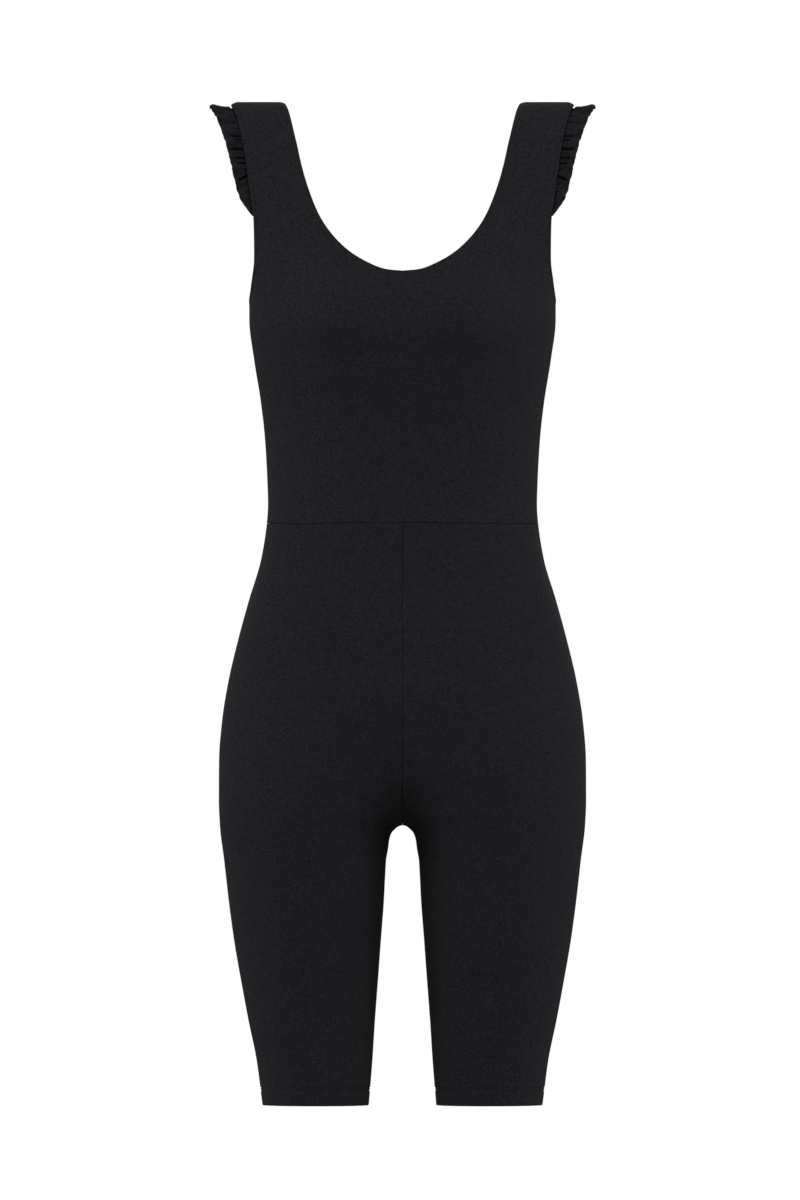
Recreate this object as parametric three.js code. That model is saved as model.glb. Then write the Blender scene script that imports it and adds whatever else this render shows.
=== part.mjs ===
// A cycling-short jumpsuit of fine black jersey with a gathered ruffle in each armhole.
// It keeps the hollow form that it has when it is worn.
// Millimetres, +Z up. The front faces -Y, and the wearer's left is +X.
// The origin lies midway between the shoulders, level with the tops of the straps.

import * as THREE from 'three';

// Driving dimensions. A drop is a distance down from the tops of the straps.
const WALL = 1.2;
const SEAM_GAP = 0.3;
const WAIST_DROP = 387;
const UNDERARM_DROP = 185;
const CROTCH_DROP = 665.6;
const HEM_DROP = 923;
const HEM_ALLOWANCE = 15;
const SHOULDER_ROLL = 60;
const NECK_DROP = { front: 156, back: 190 };
const FORK_TOP_DROP = 520;
const FORK_BLEND = { width: 24, perOffset: 1.8 };
const CLOTH_COLOUR = 0x1f1f21;

// One row for each level: half width at the side seam, depth of the front and of the back
// from the plane of the side seams, and how square the section is (2 is an ellipse).
const SECTIONS = table(['drop', 'side', 'front', 'back', 'square'], [
  [0, 178, 40, 43, 3.2],
  [20, 177, 43, 48, 3.1],
  [50, 172, 51, 60, 3.0],
  [80, 166, 64, 73.5, 2.9],
  [113, 158, 79, 86, 2.75],
  [145, 149, 93, 92, 2.6],
  [165, 143.5, 101, 93, 2.5],
  [185, 141, 106, 92, 2.45],
  [200, 141, 107, 90, 2.4],
  [237, 136.6, 101, 83, 2.35],
  [275, 130.5, 92, 75, 2.3],
  [311, 126.5, 86, 70, 2.3],
  [348, 124.4, 82.5, 67, 2.3],
  [371, 123.7, 82, 66.5, 2.3],
  [387, 124.9, 83, 68, 2.3],
  [421, 130.2, 87, 77, 2.3],
  [458, 141.2, 92, 91, 2.3],
  [495, 151.3, 95.5, 105, 2.3],
  [532, 160, 97.5, 114.5, 2.3],
  [569, 166, 98, 119.5, 2.3],
  [605, 168.8, 97.5, 121, 2.3],
  [642, 169, 95.5, 116, 2.3],
  [666, 168, 93, 107, 2.25],
  [697, 164.2, 90.5, 98, 2.2],
  [734, 160, 87, 91, 2.15],
  [771, 155, 83, 85, 2.1],
  [808, 148.6, 78, 79, 2.1],
  [845, 141.7, 73, 73, 2.1],
  [881, 134.3, 68.5, 68, 2.1],
  [923, 128.8, 64, 64, 2.1],
]);

// Inner line of each leg. It is negative where the two legs still run into each other.
const FORK = table(['drop', 'inner'], [
  [520, -157.3],
  [545, -133],
  [566, -100],
  [606, -51],
  [636, -18],
  [656, -3],
  [665.6, 6],
  [669, 8],
  [672, 10],
  [678, 12],
  [688, 13.4],
  [697, 15],
  [716, 16.1],
  [734, 17],
  [771, 19.8],
  [808, 22.5],
  [845, 25.3],
  [881, 27.6],
  [923, 31],
]);

// Outer edge of the strap and armhole, seen from the front.
const ARMHOLE = table(['drop', 'across'], [
  [0, 155.5],
  [20, 150.4],
  [50, 145],
  [80, 141],
  [113, 137],
  [145, 136.5],
  [165, 138.6],
  [185, 141],
]);

// Front neck edge from its lowest point to the strap. The back neck edge is this one, deepened.
const NECKLINE = [
  { across: 0, drop: 156 },
  { across: 22, drop: 152.5 },
  { across: 51, drop: 136 },
  { across: 74, drop: 109 },
  { across: 89, drop: 72 },
  { across: 97.5, drop: 35 },
  { across: 103.5, drop: 9 },
  { across: 107, drop: 0 },
];

// Two soft rises that the bust cut gives the front.
const BUST = { apart: 64, drop: 202, rise: 12, across: 44, above: 62, below: 52 };

// The strap's turned edges hug the shoulder.
const STRAP_CURL = { depth: 2.2, depthBelow: 0.55, across: 7, fade: 60 };

// Steps of a bodice panel's half round its outline and inwards from it, and the shares of the
// neck edge that face the waist and the waist with the side seam.
const BODICE_GRID = { waist: 8, side: 8, armhole: 13, rows: 11 };
const BODICE_NECK_SHARE = { waist: 0.19, side: 0.37 };

// Steps of a leg panel round the leg and down it. Rows crowd together towards the crotch.
const LEG_GRID = { across: 13, aboveFork: 4, fork: 8, leg: 9, forkCrowding: 2.4, legCrowding: 2 };
const HEM_STEP = 0.5;

// How finely curves are sampled.
const SECTION_RAYS = 48;
const HALVINGS = 40;
const NECK_SAMPLES = 80;

// Ruffle: its width, and how far it stands off the strap's surface for each millimetre sideways,
// at points along half of its seam, from the shoulder (0) to its lower end (1).
const RUFFLE_FORM = table(['along', 'width', 'flare'], [
  [0, 19.3, -0.14],
  [0.2, 17.3, -0.02],
  [0.46, 14.4, 0.22],
  [0.68, 12.4, 0.25],
  [0.86, 9, 0.25],
  [0.95, 4.5, 0.2],
  [1, 1.6, 0.15],
]);
const RUFFLE = {
  dropAtEnd: 104,
  gathers: 18,
  stepsPerGather: 6,
  reaches: [0.5, 1],
  wall: 1.1,
  tuck: 2.5,
  clear: 0.9,
  waveAtEdge: 3.1,
  fullWidth: 10,
};

const FRONT = { name: 'front', facing: -1 };
const BACK = { name: 'back', facing: 1 };

// Smooth curves through tables

function smoothCurve(knots, values) {
  const rise = knots.slice(1).map((knot, i) => (values[i + 1] - values[i]) / (knot - knots[i]));
  const slopes = values.map((_, i) => {
    if (i === 0) return rise[0];
    if (i === rise.length) return rise[i - 1];
    const [before, after] = [rise[i - 1], rise[i]];
    return before * after <= 0 ? 0 : (2 * before * after) / (before + after);
  });
  return (at) => {
    const place = THREE.MathUtils.clamp(at, knots[0], knots[knots.length - 1]);
    const found = knots.findIndex((knot) => knot >= place);
    const i = Math.max(found, 1) - 1;
    const span = knots[i + 1] - knots[i];
    const t = (place - knots[i]) / span;
    return (
      values[i] * (1 + 2 * t) * (1 - t) ** 2 +
      slopes[i] * span * t * (1 - t) ** 2 +
      values[i + 1] * t * t * (3 - 2 * t) -
      slopes[i + 1] * span * t * t * (1 - t)
    );
  };
}

function table(columns, rows) {
  const knots = rows.map((row) => row[0]);
  const curves = {};
  columns.slice(1).forEach((name, i) => {
    curves[name] = smoothCurve(knots, rows.map((row) => row[i + 1]));
  });
  return curves;
}

// Body form: horizontal sections, each a blend of two mirrored leg ovals

function sectionAt(drop) {
  const side = SECTIONS.side(drop);
  const inner = drop <= FORK_TOP_DROP ? -side : Math.max(-side, FORK.inner(drop));
  const centre = (side + inner) / 2;
  const half = (side - inner) / 2;
  const roll = Math.sqrt(1 - (1 - Math.min(drop / SHOULDER_ROLL, 1)) ** 2);
  return {
    side,
    centre,
    half,
    blend: Math.min(FORK_BLEND.width, FORK_BLEND.perOffset * centre) / half,
    square: SECTIONS.square(drop),
    front: SECTIONS.front(drop) * roll,
    back: SECTIONS.back(drop) * roll,
  };
}

// Below zero inside the cloth's form, above zero outside it.
function sectionField(section, face, x, y) {
  const oval = (offset) => {
    const across = Math.abs(offset / section.half) ** section.square;
    const deep = (y / section[face.name]) ** section.square;
    return (across + deep) ** (1 / section.square) - 1;
  };
  const own = oval(x - section.centre);
  if (section.blend <= 0) return own;
  const other = oval(x + section.centre);
  const near = Math.max(section.blend - Math.abs(own - other), 0) / section.blend;
  return Math.min(own, other) - (near * near * section.blend) / 4;
}

// Half a section for x >= 0, from the centre or inseam line round to the side seam.
const arcs = new Map();

function sectionArc(drop, face) {
  const key = `${face.name} ${drop.toFixed(4)}`;
  if (arcs.has(key)) return arcs.get(key);
  const section = sectionAt(drop);
  const power = section.square;
  const reach = (1 + section.blend / 4) ** power - (section.centre / section.half) ** power;
  const start = reach > 0 ? section[face.name] * reach ** (1 / power) : 0;
  const turn = Math.PI - Math.atan2(start, section.centre);
  const points = [];
  for (let i = 0; i <= SECTION_RAYS; i += 1) {
    const angle = turn * (1 - i / SECTION_RAYS);
    let [near, far] = [0, 2 * section.side];
    if (Math.cos(angle) < -1e-9) far = Math.min(far, -section.centre / Math.cos(angle));
    for (let step = 0; step < HALVINGS; step += 1) {
      const middle = (near + far) / 2;
      const x = section.centre + middle * Math.cos(angle);
      const inside = sectionField(section, face, x, middle * Math.sin(angle)) < 0;
      if (inside) near = middle;
      else far = middle;
    }
    points.push(
      new THREE.Vector2(section.centre + near * Math.cos(angle), near * Math.sin(angle)),
    );
  }
  const arc = { points, lengths: [0] };
  points.slice(1).forEach((point, i) => {
    arc.lengths.push(arc.lengths[i] + point.distanceTo(points[i]));
  });
  arcs.set(key, arc);
  return arc;
}

function legPoint(face, share, drop) {
  const { points, lengths } = sectionArc(drop, face);
  const wanted = share * lengths[lengths.length - 1];
  const next = Math.max(lengths.findIndex((length) => length >= wanted - 1e-9), 1);
  const t = (wanted - lengths[next - 1]) / (lengths[next] - lengths[next - 1]);
  const flat = points[next - 1].clone().lerp(points[next], t);
  return new THREE.Vector3(flat.x, face.facing * flat.y, -drop);
}

// On the bodice, turn runs from 0 at the centre to 1 at the side seam.
function bodicePoint(face, turn, drop) {
  const section = sectionAt(drop);
  const angle = (Math.abs(turn) * Math.PI) / 2;
  const x = section.side * Math.sin(angle) ** (2 / section.square);
  const share = Math.max(Math.cos(angle), 0) ** (2 / section.square);
  const bust = face === FRONT ? share * bustRise(x, drop) : 0;
  const point = new THREE.Vector3(x, face.facing * (section[face.name] * share + bust), -drop);
  hugShoulder(point, face, drop);
  point.x *= Math.sign(turn);
  return point;
}

function bustRise(x, drop) {
  const across = Math.exp(-(((x - BUST.apart) / BUST.across) ** 2));
  const bridge = Math.exp(-(((x + BUST.apart) / BUST.across) ** 2));
  const fall = drop < BUST.drop ? BUST.above : BUST.below;
  return BUST.rise * (across + bridge) * Math.exp(-(((drop - BUST.drop) / fall) ** 2));
}

function hugShoulder(point, face, drop) {
  if (drop > STRAP_CURL.fade) return;
  const edges = [point.x - neckAcross(face, drop), ARMHOLE.across(drop) - point.x];
  const nearness = edges.map((edge) => Math.max(1 - Math.max(edge, 0) / STRAP_CURL.across, 0));
  const { depth, depthBelow, fade } = STRAP_CURL;
  const curl = THREE.MathUtils.lerp(depth, depthBelow, drop / fade);
  const core = new THREE.Vector3(point.x, 0, -SHOULDER_ROLL);
  const inward = core.sub(point).normalize();
  point.addScaledVector(inward, curl * Math.max(...nearness) ** 2);
}

function turnAt(across, drop) {
  const section = sectionAt(drop);
  const share = Math.min(across / section.side, 1) ** (section.square / 2);
  return (Math.asin(share) * 2) / Math.PI;
}

// Edges of the bodice

function neckCurve(face) {
  const deeper = NECK_DROP[face.name] / NECK_DROP.front;
  return new THREE.SplineCurve(
    NECKLINE.map((knot) => new THREE.Vector2(knot.across, knot.drop * deeper)),
  );
}

const NECK = { front: neckCurve(FRONT), back: neckCurve(BACK) };

const neckWidths = {};
for (const face of [FRONT, BACK]) {
  const points = NECK[face.name].getSpacedPoints(NECK_SAMPLES).reverse();
  neckWidths[face.name] = smoothCurve(points.map((p) => p.y), points.map((p) => p.x));
}

function neckAcross(face, drop) {
  return neckWidths[face.name](drop);
}

// The outline of half a panel, as pairs of a neck point and the point that faces it.
function bodiceOutline(face) {
  const pairs = [];
  const neckAt = (share) => {
    const point = NECK[face.name].getPointAt(THREE.MathUtils.clamp(share, 0, 1));
    const drop = Math.max(point.y, 0);
    return { turn: turnAt(Math.max(point.x, 0), drop), drop };
  };
  const { waist, side, armhole } = BODICE_GRID;
  for (let i = 0; i < waist; i += 1) {
    const t = i / waist;
    pairs.push([neckAt(BODICE_NECK_SHARE.waist * t), { turn: t, drop: WAIST_DROP }]);
  }
  for (let i = 0; i < side; i += 1) {
    const t = i / side;
    const share = THREE.MathUtils.lerp(BODICE_NECK_SHARE.waist, BODICE_NECK_SHARE.side, t);
    const drop = THREE.MathUtils.lerp(WAIST_DROP, UNDERARM_DROP, t);
    pairs.push([neckAt(share), { turn: 1, drop }]);
  }
  for (let i = 0; i <= armhole; i += 1) {
    const ease = (1 - Math.cos((Math.PI * i) / armhole)) / 2;
    const drop = UNDERARM_DROP * (1 - ease);
    const outer = { turn: turnAt(ARMHOLE.across(drop), drop), drop };
    pairs.push([neckAt(THREE.MathUtils.lerp(BODICE_NECK_SHARE.side, 1, ease)), outer]);
  }
  return pairs;
}

// Walls: a grid of surface points, with an inner skin one wall away and closed rims

function gridNormals(grid, facing) {
  const last = [grid.length - 1, grid[0].length - 1];
  return grid.map((column, i) =>
    column.map((_, j) => {
      const along = grid[Math.min(i + 1, last[0])][j].clone().sub(grid[Math.max(i - 1, 0)][j]);
      const down = column[Math.min(j + 1, last[1])].clone().sub(column[Math.max(j - 1, 0)]);
      return along.cross(down).multiplyScalar(facing).normalize();
    }),
  );
}

// A seam is an axis and the value at which the cloth's edge stops on it.
function meetSeams(vector, seams, valueOf) {
  for (const seam of seams) vector[seam.axis] = valueOf(seam);
  return vector;
}

function wall(grid, facing, seamsAt, thicknessAt) {
  const normals = gridNormals(grid, facing);
  const outer = [];
  const inner = [];
  grid.forEach((column, i) => {
    outer.push([]);
    inner.push([]);
    column.forEach((point, j) => {
      const seams = seamsAt(i, j);
      const normal = meetSeams(normals[i][j], seams, () => 0).normalize();
      const skin = point.clone().addScaledVector(normal, -thicknessAt(i, j));
      outer[i].push(meetSeams(point.clone(), seams, (seam) => seam.value));
      inner[i].push(meetSeams(skin, seams, (seam) => seam.value));
    });
  });
  return closedSheet(outer, inner, facing);
}

function closedSheet(outer, inner, facing) {
  const [columns, rows] = [outer.length, outer[0].length];
  const positions = [];
  for (const skin of [outer, inner]) {
    for (const column of skin) for (const point of column) positions.push(...point.toArray());
  }
  const at = (skin, i, j) => (skin * columns + i) * rows + j;
  const faces = [];
  const quad = (a, b, c, d) => {
    if (facing > 0) faces.push(a, b, c, a, c, d);
    else faces.push(a, c, b, a, d, c);
  };
  for (let i = 0; i < columns - 1; i += 1) {
    for (let j = 0; j < rows - 1; j += 1) {
      quad(at(0, i, j), at(0, i + 1, j), at(0, i + 1, j + 1), at(0, i, j + 1));
      quad(at(1, i, j), at(1, i, j + 1), at(1, i + 1, j + 1), at(1, i + 1, j));
    }
    quad(at(0, i, 0), at(1, i, 0), at(1, i + 1, 0), at(0, i + 1, 0));
    const last = rows - 1;
    quad(at(0, i, last), at(0, i + 1, last), at(1, i + 1, last), at(1, i, last));
  }
  for (let j = 0; j < rows - 1; j += 1) {
    quad(at(0, 0, j), at(0, 0, j + 1), at(1, 0, j + 1), at(1, 0, j));
    const last = columns - 1;
    quad(at(0, last, j), at(1, last, j), at(1, last, j + 1), at(0, last, j + 1));
  }
  const geometry = new THREE.BufferGeometry();
  geometry.setAttribute('position', new THREE.Float32BufferAttribute(positions, 3));
  geometry.setIndex(faces);
  geometry.computeVertexNormals();
  return geometry;
}

function mirrored(geometry) {
  const copy = geometry.clone().scale(-1, 1, 1);
  const index = copy.getIndex();
  for (let i = 0; i < index.count; i += 3) {
    const second = index.getX(i + 1);
    index.setX(i + 1, index.getX(i + 2));
    index.setX(i + 2, second);
  }
  copy.computeVertexNormals();
  return copy;
}

const seam = (axis, value) => ({ axis, value });
const HALF_GAP = SEAM_GAP / 2;

// Bodice: one panel from side seam to side seam, front and back

function bodiceGrid(face) {
  const half = bodiceOutline(face);
  const flip = ([neck, edge]) => [
    { turn: -neck.turn, drop: neck.drop },
    { turn: -edge.turn, drop: edge.drop },
  ];
  const outline = [...half.slice(1).reverse().map(flip), ...half];
  const { rows } = BODICE_GRID;
  const grid = outline.map(([neck, edge]) =>
    Array.from({ length: rows + 1 }, (_, j) => {
      const turn = THREE.MathUtils.lerp(neck.turn, edge.turn, j / rows);
      return bodicePoint(face, turn, THREE.MathUtils.lerp(neck.drop, edge.drop, j / rows));
    }),
  );
  const normals = gridNormals(grid, face.facing);
  for (const tip of [0, grid.length - 1]) {
    for (const normal of normals[tip]) normal.setY(0).normalize();
  }
  return { grid, normals };
}

function bodicePanel(face) {
  const { grid } = bodiceGrid(face);
  const { rows, waist, side } = BODICE_GRID;
  const centre = (grid.length - 1) / 2;
  const seamsAt = (i, j) => {
    const step = Math.abs(i - centre);
    const found = [];
    if (step === centre) found.push(seam('y', face.facing * HALF_GAP));
    if (j === rows && step <= waist) found.push(seam('z', -WAIST_DROP + HALF_GAP));
    if (j === rows && step >= waist && step <= waist + side) {
      found.push(seam('y', face.facing * HALF_GAP));
    }
    return found;
  };
  return wall(grid, face.facing, seamsAt, () => WALL);
}

// Shorts: a front and a back panel for each leg, each from waist to hem

// Pairs of drops, at the centre seam or inseam and at the side seam, for each row of a leg panel.
function legRows() {
  const rows = [];
  const { aboveFork, fork, leg, forkCrowding, legCrowding } = LEG_GRID;
  const above = aboveFork + fork;
  const hemTop = HEM_DROP - HEM_ALLOWANCE;
  const sideDrop = (i) => THREE.MathUtils.lerp(WAIST_DROP, CROTCH_DROP, i / above);
  for (let i = 0; i < aboveFork; i += 1) {
    const inner = THREE.MathUtils.lerp(WAIST_DROP, FORK_TOP_DROP, i / aboveFork);
    rows.push({ inner, outer: sideDrop(i) });
  }
  for (let i = 0; i < fork; i += 1) {
    const ease = 1 - (1 - i / fork) ** forkCrowding;
    const inner = THREE.MathUtils.lerp(FORK_TOP_DROP, CROTCH_DROP, ease);
    rows.push({ inner, outer: sideDrop(aboveFork + i) });
  }
  for (let i = 0; i <= leg; i += 1) {
    const inner = THREE.MathUtils.lerp(CROTCH_DROP, hemTop, (i / leg) ** legCrowding);
    rows.push({ inner, outer: THREE.MathUtils.lerp(CROTCH_DROP, hemTop, i / leg) });
  }
  for (const drop of [hemTop + HEM_STEP, HEM_DROP]) rows.push({ inner: drop, outer: drop });
  return rows;
}

function legPanel(face) {
  const rows = legRows();
  const { across, aboveFork, fork } = LEG_GRID;
  const crotchRow = aboveFork + fork;
  const grid = Array.from({ length: across + 1 }, (_, i) => {
    const share = i / across;
    const ease = share * (2 - share);
    return rows.map(({ inner, outer }) =>
      legPoint(face, share, THREE.MathUtils.lerp(inner, outer, ease)),
    );
  });
  const seamsAt = (i, j) => {
    const found = [];
    if (j === 0) found.push(seam('z', -WAIST_DROP - HALF_GAP));
    if (j === rows.length - 1) found.push(seam('z', -HEM_DROP));
    if (i === 0 && j <= crotchRow) found.push(seam('x', HALF_GAP));
    if (i === 0 && j >= crotchRow) found.push(seam('y', face.facing * HALF_GAP));
    if (i === across) found.push(seam('y', face.facing * HALF_GAP));
    return found;
  };
  const thicknessAt = (i, j) => (j >= rows.length - 2 ? 2 * WALL : WALL);
  return wall(grid, face.facing, seamsAt, thicknessAt);
}

// Ruffle: a waved strip whose gathered edge is tucked under the strap's outer edge

// The panel's points along its armhole, each with its neighbour inside the edge.
function armholeEdge(face) {
  const { grid, normals } = bodiceGrid(face);
  const { rows, armhole } = BODICE_GRID;
  const first = grid.length - 1 - armhole;
  return Array.from({ length: armhole + 1 }, (_, k) => ({
    edge: grid[first + k][rows],
    inside: grid[first + k][rows - 1],
    outward: normals[first + k][rows],
  }));
}

// One named vector of two knots, part of the way from the first to the second.
function between(from, to, t, name) {
  return from[name].clone().lerp(to[name], t);
}

// Stations evenly spaced along the seam, from its front end over the shoulder to its back end.
function ruffleStations() {
  const knots = [...armholeEdge(FRONT), ...armholeEdge(BACK).reverse().slice(1)];
  const lengths = [0];
  knots.slice(1).forEach((knot, k) => {
    lengths.push(lengths[k] + knot.edge.distanceTo(knots[k].edge));
  });
  const above = knots.map((knot) => knot.edge.z + RUFFLE.dropAtEnd);
  const endIn = (k) => {
    const t = above[k] / (above[k] - above[k + 1]);
    return THREE.MathUtils.lerp(lengths[k], lengths[k + 1], t);
  };
  const firstAbove = above.findIndex((height) => height > 0);
  const lastAbove = above.findLastIndex((height) => height > 0);
  const ends = [endIn(firstAbove - 1), endIn(lastAbove)];
  const count = RUFFLE.gathers * RUFFLE.stepsPerGather;
  return Array.from({ length: count + 1 }, (_, i) => {
    const share = i / count;
    const length = THREE.MathUtils.lerp(...ends, share);
    const k = Math.max(lengths.findIndex((reached) => reached >= length), 1) - 1;
    const t = (length - lengths[k]) / (lengths[k + 1] - lengths[k]);
    const [from, to] = [knots[k], knots[k + 1]];
    const edge = between(from, to, t, 'edge');
    const outward = between(from, to, t, 'outward').normalize();
    const across = edge.clone().sub(between(from, to, t, 'inside')).normalize();
    const along = Math.abs(2 * share - 1);
    const [width, flare] = [RUFFLE_FORM.width(along), RUFFLE_FORM.flare(along)];
    const aside = new THREE.Vector3(1, 0, 0).addScaledVector(outward, flare).normalize();
    const lift = outward.clone().addScaledVector(aside, -outward.dot(aside)).normalize();
    return { share, width, edge, outward, across, aside, lift };
  });
}

function ruffle() {
  const under = WALL + SEAM_GAP + RUFFLE.wall / 2;
  const grid = ruffleStations().map(({ share, width, edge, outward, across, aside, lift }) => {
    const wave = RUFFLE.waveAtEdge * Math.sin(2 * Math.PI * RUFFLE.gathers * share);
    const fullness = Math.min(width / RUFFLE.fullWidth, 1);
    const root = edge.clone().addScaledVector(outward, -under);
    const turn = root.clone().addScaledVector(across, RUFFLE.clear);
    const free = RUFFLE.reaches.map((reach) =>
      turn
        .clone()
        .addScaledVector(aside, width * reach)
        .addScaledVector(lift, wave * fullness * reach),
    );
    return [root.addScaledVector(across, -RUFFLE.tuck), turn, ...free];
  });
  const normals = gridNormals(grid, 1);
  const skin = (side) =>
    grid.map((column, i) =>
      column.map((point, j) =>
        point.clone().addScaledVector(normals[i][j], (side * RUFFLE.wall) / 2),
      ),
    );
  return closedSheet(skin(1), skin(-1), 1);
}

// The jumpsuit

const jersey = new THREE.MeshStandardMaterial({
  name: 'black_jersey',
  color: CLOTH_COLOUR,
  roughness: 0.95,
  metalness: 0,
});

const jumpsuit = new THREE.Group();
jumpsuit.name = 'jumpsuit';

function add(name, geometry) {
  const mesh = new THREE.Mesh(geometry, jersey);
  mesh.name = name;
  jumpsuit.add(mesh);
}

for (const face of [FRONT, BACK]) {
  add(`bodice_${face.name}`, bodicePanel(face));
  const leg = legPanel(face);
  add(`shorts_${face.name}_left`, leg);
  add(`shorts_${face.name}_right`, mirrored(leg));
}
const leftRuffle = ruffle();
add('ruffle_left', leftRuffle);
add('ruffle_right', mirrored(leftRuffle));

export default jumpsuit;
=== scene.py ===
# A cycling-short jumpsuit of fine black jersey with a gathered ruffle in each armhole.
# It is sewn up from eight pieces of cloth that keep the hollow form it has when it is worn.
import math
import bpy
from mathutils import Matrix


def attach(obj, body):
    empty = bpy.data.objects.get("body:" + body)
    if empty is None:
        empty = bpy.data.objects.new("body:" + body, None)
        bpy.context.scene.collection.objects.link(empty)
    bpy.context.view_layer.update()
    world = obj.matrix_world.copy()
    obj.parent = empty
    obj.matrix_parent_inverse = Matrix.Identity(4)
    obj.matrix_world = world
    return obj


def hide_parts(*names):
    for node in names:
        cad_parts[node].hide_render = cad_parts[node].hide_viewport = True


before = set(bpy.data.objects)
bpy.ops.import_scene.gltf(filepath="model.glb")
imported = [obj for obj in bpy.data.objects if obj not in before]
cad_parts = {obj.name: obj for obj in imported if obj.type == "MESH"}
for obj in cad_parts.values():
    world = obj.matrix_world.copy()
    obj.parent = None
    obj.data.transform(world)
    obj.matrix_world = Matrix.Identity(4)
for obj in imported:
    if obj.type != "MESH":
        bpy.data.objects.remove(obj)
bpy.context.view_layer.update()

from types import SimpleNamespace as Sizes

import bmesh
import bpy
import numpy as np
from mathutils import Vector

# Sizes of the garment in millimetres. A drop is a distance down from the tops of the straps.
MM = 0.001
FAR = 1e3
MIRROR = (-1, 1, 1)
WAIST_DROP = 387
UNDERARM_DROP = 185
CROTCH_DROP = 665.6
HEM_DROP = 923
SHOULDER_ROLL = 60
NECK_DROP = {"front": 156, "back": 190}
FORK_TOP_DROP = 520
FORK_BLEND = Sizes(width=24, per_offset=1.8)
FACING = {"front": -1, "back": 1}

CLOTH_THICKNESS = 0.85
HALF_GAP = 0.05
SEAM_ROLL = 0.95
SEAM_TURN_IN = 1.1
TURNED_IN = [SEAM_ROLL + SEAM_TURN_IN * k / 3 for k in (3, 2, 1)]
SQUARE_UP = 5
CREASE_FADE = 12
EDGE_ROLL = 0.95
NECK_ALLOWANCE = 9
HEM_ALLOWANCE = 16
HEM_APPROACH = 3
NEARBY = 0.002


def bell(distance, width):
    return np.exp(-((distance / width) ** 2))


def between(start, end, leave, arrive, t):
    """A curve from start to end, with the slopes that it leaves and arrives with."""
    return (
        start * (1 + 2 * t) * (1 - t) ** 2
        + leave * t * (1 - t) ** 2
        + end * t * t * (3 - 2 * t)
        - arrive * t * t * (1 - t)
    )


def smooth_curve(knots, values):
    """A curve through the knots that never swings past them."""
    knots = np.array(knots, float)
    values = np.array(values, float)
    rise = np.diff(values) / np.diff(knots)
    before, after = rise[:-1], rise[1:]
    same_way = before * after > 0
    both = np.where(same_way, before + after, 1)
    slopes = np.where(same_way, 2 * before * after / both, 0)
    slopes = np.concatenate((rise[:1], slopes, rise[-1:]))

    def at(place):
        place = np.clip(place, knots[0], knots[-1])
        i = np.clip(np.searchsorted(knots, place) - 1, 0, len(knots) - 2)
        span = knots[i + 1] - knots[i]
        t = (place - knots[i]) / span
        return between(values[i], values[i + 1], slopes[i] * span, slopes[i + 1] * span, t)

    return at


def table(columns, rows):
    """Named smooth curves over a table's first column."""
    knots = [row[0] for row in rows]
    return {
        name: smooth_curve(knots, [row[i] for row in rows])
        for i, name in enumerate(columns)
        if i > 0
    }


# One row for each level: half width at the side seam, depths of front and back from the plane
# of the side seams, and how square the section is (2 is an ellipse).
SECTIONS = table(("drop", "side", "front", "back", "square"), [
    (0, 178, 40, 43, 3.2), (20, 177, 43, 48, 3.1), (50, 172, 51, 60, 3.0),
    (80, 166, 64, 73.5, 2.9), (113, 158, 79, 86, 2.75), (145, 149, 93, 92, 2.6),
    (165, 143.5, 101, 93, 2.5), (185, 141, 106, 92, 2.45), (200, 141, 107, 90, 2.4),
    (237, 136.6, 101, 83, 2.35), (275, 130.5, 92, 75, 2.3), (311, 126.5, 86, 70, 2.3),
    (348, 124.4, 82.5, 67, 2.3), (371, 123.7, 82, 66.5, 2.3), (387, 124.9, 83, 68, 2.3),
    (421, 130.2, 87, 77, 2.3), (458, 141.2, 92, 91, 2.3), (495, 151.3, 95.5, 105, 2.3),
    (532, 160, 97.5, 114.5, 2.3), (569, 166, 98, 119.5, 2.3), (605, 168.8, 97.5, 121, 2.3),
    (642, 169, 95.5, 116, 2.3), (666, 168, 93, 107, 2.25), (697, 164.2, 90.5, 98, 2.2),
    (734, 160, 87, 91, 2.15), (771, 155, 83, 85, 2.1), (808, 148.6, 78, 79, 2.1),
    (845, 141.7, 73, 73, 2.1), (881, 134.3, 68.5, 68, 2.1), (923, 128.8, 64, 64, 2.1),
])

# Inner line of each leg. It is negative where the two legs still run into each other.
FORK = table(("drop", "inner"), [
    (520, -157.3), (545, -133), (566, -100), (606, -51), (636, -18), (656, -3), (665.6, 6),
    (669, 8), (672, 10), (678, 12), (688, 13.4), (697, 15), (716, 16.1), (734, 17), (771, 19.8),
    (808, 22.5), (845, 25.3), (881, 27.6), (923, 31),
])

# Outer edge of the strap and armhole, seen from the front.
ARMHOLE = table(("drop", "across"), [
    (0, 158.2), (7, 154.2), (20, 150.4), (50, 145), (80, 141), (113, 137), (145, 136.5),
    (165, 138.6), (185, 141),
])

# Front neck edge (across, drop) from its lowest point to the strap. The back one is deeper.
NECKLINE = [(0, 156), (22, 152.5), (51, 136), (74, 109), (89, 72), (97.5, 35), (103.5, 9), (107, 0)]

BUST = Sizes(apart=64, drop=202, rise=12, across=44, above=62, below=45)
STRAP_CURL = Sizes(depth=2.2, outer_depth=3.2, depth_below=0.55, across=7, fade=60)
BODICE_NECK_SHARE = Sizes(waist=0.19, side=0.37)

UNDERARM_BEND = 140
ARMHOLE_RIDGE = Sizes(rise=1.1, away=2.3, width=1.4, fade=6)
WAIST_WAVER = Sizes(sag=1, centre_lift=0.7, centre_width=55, uneven=0.35, fade=30)

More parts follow.
